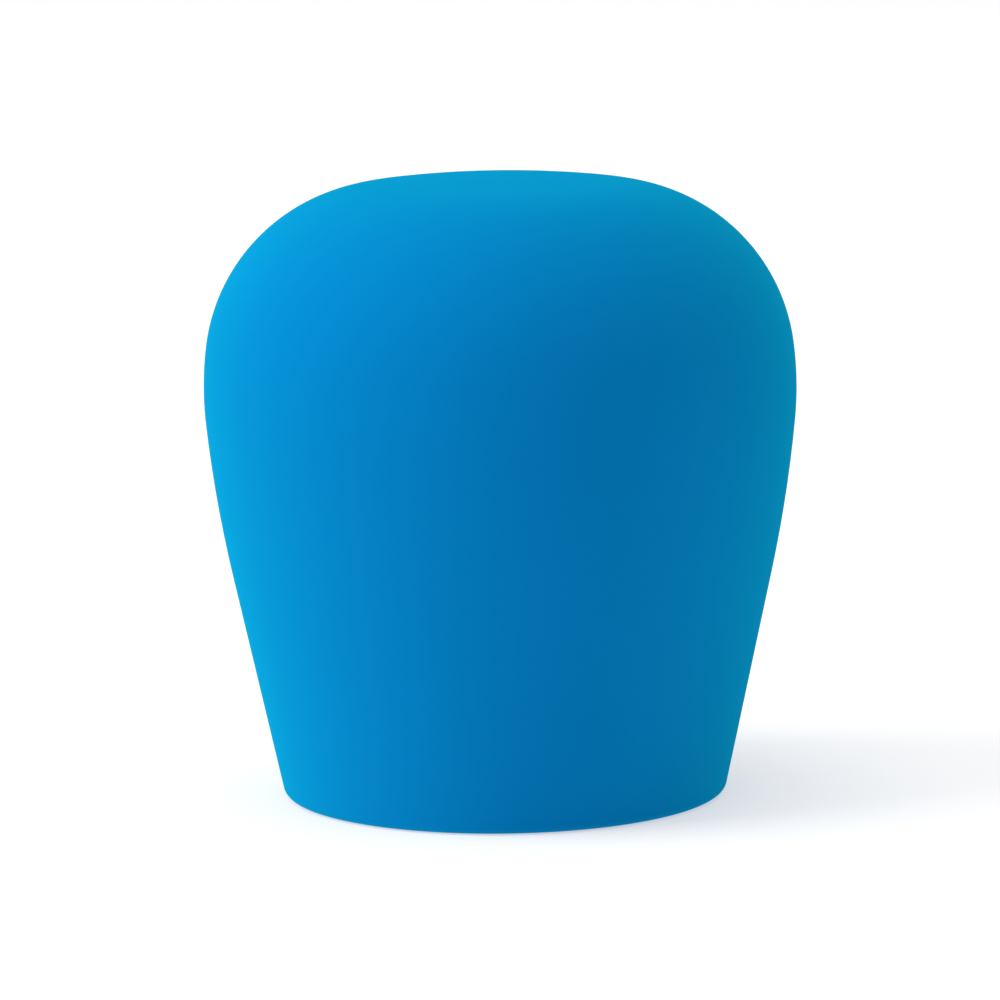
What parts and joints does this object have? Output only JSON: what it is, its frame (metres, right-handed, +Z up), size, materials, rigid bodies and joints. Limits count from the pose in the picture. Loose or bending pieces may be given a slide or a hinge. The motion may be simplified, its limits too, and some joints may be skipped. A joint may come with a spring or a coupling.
{
  "type": "pipette filler bulb",
  "caption": "Squeezable silicone bulb for filling pipettes, with a recessed valve plate, a check valve, a filter and a soft pipette socket in its mouth.",
  "frame": {"origin": "centre of the rim that the bulb stands on", "axes": "+Z up along the bulb's axis, from the mouth to the crown; the part is round about Z, so X and Y are level and free"},
  "size_m": [0.058, 0.058, 0.061],
  "materials": {
    "bulb_silicone": "satin",
    "white_plastic": "satin",
    "grey_plastic": "satin",
    "valve_rubber": "matte",
    "sleeve_silicone": "satin",
    "membrane": "matte",
    "ball_steel": "polished"
  },
  "bodies": {
    "base": {"bulb_wall": "bulb_silicone", "valve_plate": "white_plastic", "ball_cage": "white_plastic", "seal_ring": "valve_rubber"},
    "crown": {"bulb_crown": "bulb_silicone"},
    "ball": {"check_ball": "ball_steel"},
    "exhaust_valve": {"exhaust_ring": "valve_rubber"},
    "socket": {"pipette_sleeve": "sleeve_silicone", "filter_base": "white_plastic", "filter_membrane": "membrane", "filter_cover": "white_plastic"},
    "screw_collar": {"nosepiece": "grey_plastic"}
  },
  "joints": [
    {"name": "crown_press", "type": "slide", "parent": "base", "child": "crown", "axis": [0, 0, -1], "range_m": [0, 0.012], "stiffness_N_per_m": 1800, "springref_m": -0.0006, "deforming": ["bulb_wall"]},
    {"name": "check_ball_lift", "type": "slide", "parent": "base", "child": "ball", "axis": [0, 0, 1], "range_m": [0, 0.0015]},
    {"name": "exhaust_ring_open", "type": "slide", "parent": "base", "child": "exhaust_valve", "axis": [0, 0, -1], "range_m": [0, 0.001], "stiffness_N_per_m": 60, "springref_m": -0.001},
    {"name": "sleeve_drop", "type": "slide", "parent": "base", "child": "socket", "axis": [0, 0, -1], "range_m": [0, 0.006]},
    {"name": "nosepiece_turn", "type": "hinge", "parent": "socket", "child": "screw_collar", "pos_m": [0, 0, 0.001], "axis": [0, 0, -1], "range_deg": [0, 1080]}
  ],
  "couplings": [
    {"joint": "sleeve_drop", "follows": "nosepiece_turn", "m_per_rad": 0.0003183}
  ]
}
